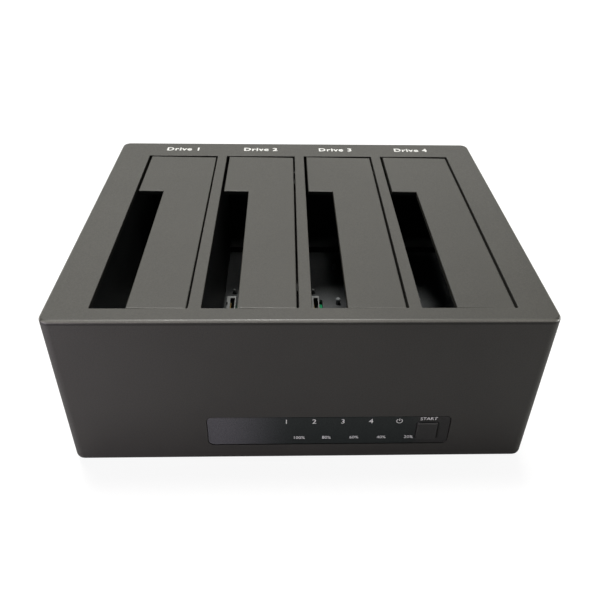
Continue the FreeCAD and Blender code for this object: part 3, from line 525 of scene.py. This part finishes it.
def power_symbol(name, r, w, gap_deg, place, body="case", depth=0.04):
    bm = bmesh.new()
    n = 40
    a0, a1 = math.radians(90 + gap_deg), math.radians(450 - gap_deg)
    h = depth * MM / 2
    rings = []
    for k in range(n + 1):
        a = a0 + (a1 - a0) * k / n
        c, s = math.cos(a), math.sin(a)
        rings.append([bm.verts.new(((r + d) * c, (r + d) * s, z)) for d, z in ((-w / 2, -h), (w / 2, -h), (w / 2, h), (-w / 2, h))])
    for a, b in zip(rings, rings[1:]):
        for i in range(4):
            j = (i + 1) % 4
            bm.faces.new((a[i], a[j], b[j], b[i]))
    bm.faces.new(rings[0][::-1])
    bm.faces.new(rings[-1])
    vs = [bm.verts.new((x, y, z)) for z in (-h, h) for x, y in ((-w / 2, r * 0.12), (w / 2, r * 0.12), (w / 2, r * 1.28), (-w / 2, r * 1.28))]
    for q in ((0, 1, 2, 3), (7, 6, 5, 4), (0, 4, 5, 1), (1, 5, 6, 2), (2, 6, 7, 3), (3, 7, 4, 0)):
        bm.faces.new([vs[i] for i in q])
    bm.transform(place)
    return bm_object(name, bm, "white_print", body)


# ------------------------------------------------------------------ printed marks
LABEL_X = [-0.0480, -0.0155, 0.0163, 0.0486]
for i, x in enumerate(LABEL_X):
    print_text("bay_mark_%d" % (i + 1), "Drive %d" % (i + 1), 3.0 * MM, on_top(x, 0.0546, TOP_Z), bold=0.030, spacing=1.12, wide=1.02)

WIN_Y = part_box("control_window")[0].y
for i, x in enumerate((-4.75, 4.15, 13.31, 22.36)):
    print_text("lamp_mark_%d" % (i + 1), str(i + 1), 2.05 * MM, on_front(x * MM, WIN_Y, (17.82 + 1.2) * MM), bold=0.0, wide=1.05)
power_symbol("lamp_mark_power", 0.92 * MM, 0.21 * MM, 30, on_front(31.48 * MM, WIN_Y, (17.72 + 1.2) * MM))
for i, t in enumerate(("100%", "80%", "60%", "40%", "20%")):
    print_text("scale_mark_" + t[:-1], t, 1.30 * MM, on_front((-0.67 + 8.955 * i) * MM, WIN_Y, (10.26 + 1.2) * MM), bold=0.0)
print_text("start_mark", "START", 1.35 * MM, on_front(40.87 * MM, WIN_Y, (18.72 + 1.2) * MM), bold=0.0, spacing=1.0, wide=1.02)


print_text("inlet_mark", "DC IN", 1.9 * MM, on_back(0.0560, BACK_Y, (19.0 + 1.2) * MM), bold=0.012, spacing=1.06)
print_text("switch_mark", "POWER", 1.9 * MM, on_back(0.0370, BACK_Y, (19.0 + 1.2) * MM), bold=0.012, spacing=1.06)
print_text("data_mark", "DATA", 1.9 * MM, on_back(0.0140, BACK_Y, (20.3 + 1.2) * MM), bold=0.012, spacing=1.06)


def on_rocker(side):
    """middle of one of the rocker's two slanting faces: +1 is the end towards +X"""
    pivot = Matrix.Translation((0.0370, 0.0587, (10.3 + 1.2) * MM)) @ Matrix.Rotation(math.radians(8.0), 4, "Z")
    a = math.atan2(0.80, 5.0)
    mid = Vector((side * 2.9, 2.45 + 0.8 * 2.9 / 5.0, 0.0)) * MM
    n = Vector((-side * math.sin(a), math.cos(a), 0.0))
    turn = Matrix.Rotation(math.atan2(n.y, n.x) - math.radians(90), 4, "Z")
    return pivot @ Matrix.Translation(mid) @ turn @ Matrix.Rotation(math.radians(180), 4, "Z") @ Matrix.Rotation(math.radians(90), 4, "X")


def ring_mark(name, r, w, place, body, depth=0.04):
    bm = bmesh.new()
    n, h = 36, depth * MM / 2
    rings = []
    for k in range(n):
        c, s = math.cos(2 * math.pi * k / n), math.sin(2 * math.pi * k / n)
        rings.append([bm.verts.new(((r + d) * c * 0.8, (r + d) * s, z)) for d, z in ((-w / 2, -h), (w / 2, -h), (w / 2, h), (-w / 2, h))])
    for i in range(n):
        a, b = rings[i], rings[(i + 1) % n]
        for k in range(4):
            j = (k + 1) % 4
            bm.faces.new((a[k], a[j], b[j], b[k]))
    bm.transform(place)
    return bm_object(name, bm, "white_print", body)


def bar_mark(name, w, h, place, body, depth=0.04):
    bm = bmesh.new()
    bmesh.ops.create_cube(bm, size=1.0)
    bm.transform(place @ Matrix.Diagonal((w, h, depth * MM, 1.0)))
    return bm_object(name, bm, "white_print", body)


bar_mark("rocker_on_mark", 0.42 * MM, 2.8 * MM, on_rocker(1), "power_rocker_body")
ring_mark("rocker_off_mark", 1.25 * MM, 0.42 * MM, on_rocker(-1), "power_rocker_body")


# ------------------------------------------------------------------ stage
def make_floor():
    bm = bmesh.new()
    n, r = 64, 7.0
    ring = [bm.verts.new((r * math.cos(2 * math.pi * k / n), r * math.sin(2 * math.pi * k / n), 0.0)) for k in range(n)]
    bm.faces.new(ring)
    me = bpy.data.meshes.new("floor")
    bm.to_mesh(me)
    bm.free()
    ob = bpy.data.objects.new("floor", me)
    bpy.context.scene.collection.objects.link(ob)
    m = Mat("floor_paper")
    fine = m.noise(1.4, 2.0, 0.5)
    seen = m.node("ShaderNodeLightPath").outputs["Is Camera Ray"]
    pale = m.ramp(fine, [(0.3, (0.108, 0.108, 0.107)), (0.7, (0.118, 0.118, 0.117))])
    m.set(Base_Color=m.mix(seen, (0.27, 0.27, 0.27), pale), Roughness=0.9)
    m.bsdf.inputs["Emission Color"].default_value = (1, 1, 1, 1)
    m.link(m.remap(seen, 0.0, 1.0, 0.04, 0.905, smooth=False), m.bsdf.inputs["Emission Strength"])
    m.bsdf.inputs["Specular IOR Level"].default_value = 0.1
    me.materials.append(m.mat)


def area(name, size_x, size_y, energy, place, aim, color=(1, 1, 1)):
    li = bpy.data.lights.new(name, "AREA")
    li.shape = "RECTANGLE"
    li.size, li.size_y = size_x, size_y
    li.energy = energy
    li.color = color
    ob = bpy.data.objects.new(name, li)
    bpy.context.scene.collection.objects.link(ob)
    ob.location = place
    ob.rotation_euler = (Vector(aim) - Vector(place)).to_track_quat("-Z", "Y").to_euler()
    return ob


make_floor()
area("key", 0.50, 0.45, 45.0, (-0.11, 0.34, 1.50), (0, 0, 0.03), (1.0, 0.985, 0.955))
area("soft_back", 4.0, 1.4, 40.0, (-0.45, 2.3, 1.68), (0, 0, 0.05), (1.0, 0.985, 0.93))
area("near_left", 0.12, 0.05, 0.47, (-0.22, -0.20, 0.035), (-0.05, -0.06, 0.03), (0.96, 0.88, 1.0))
area("low_left", 0.35, 0.06, 0.75, (-0.50, -0.42, 0.035), (-0.05, -0.06, 0.03), (0.97, 0.90, 1.0))
area("low_right", 0.24, 0.08, 0.8, (0.34, -0.066, 0.045), (0.07, -0.06, 0.03), (1.0, 0.98, 0.96))
area("front_soft", 2.6, 1.0, 0.5, (-0.30, -1.9, 1.15), (0, 0, 0.05), (0.97, 0.98, 1.0))

world = bpy.data.worlds.new("studio")
bpy.context.scene.world = world
world.use_nodes = True
wn = world.node_tree
wn.nodes.clear()
wo = wn.nodes.new("ShaderNodeOutputWorld")
b1 = wn.nodes.new("ShaderNodeBackground")
b2 = wn.nodes.new("ShaderNodeBackground")
mx = wn.nodes.new("ShaderNodeMixShader")
lp = wn.nodes.new("ShaderNodeLightPath")
b1.inputs[0].default_value = (0.80, 0.98, 1.05, 1)
b1.inputs[1].default_value = 0.07
b2.inputs[0].default_value = (1, 1, 1, 1)
b2.inputs[1].default_value = 1.0
wn.links.new(lp.outputs["Is Camera Ray"], mx.inputs[0])
wn.links.new(b1.outputs[0], mx.inputs[1])
wn.links.new(b2.outputs[0], mx.inputs[2])
wn.links.new(mx.outputs[0], wo.inputs[0])

bpy.context.scene.view_settings.view_transform = "Standard"
bpy.context.scene.view_settings.look = "None"

# ------------------------------------------------------------------ final update
bpy.context.view_layer.update()
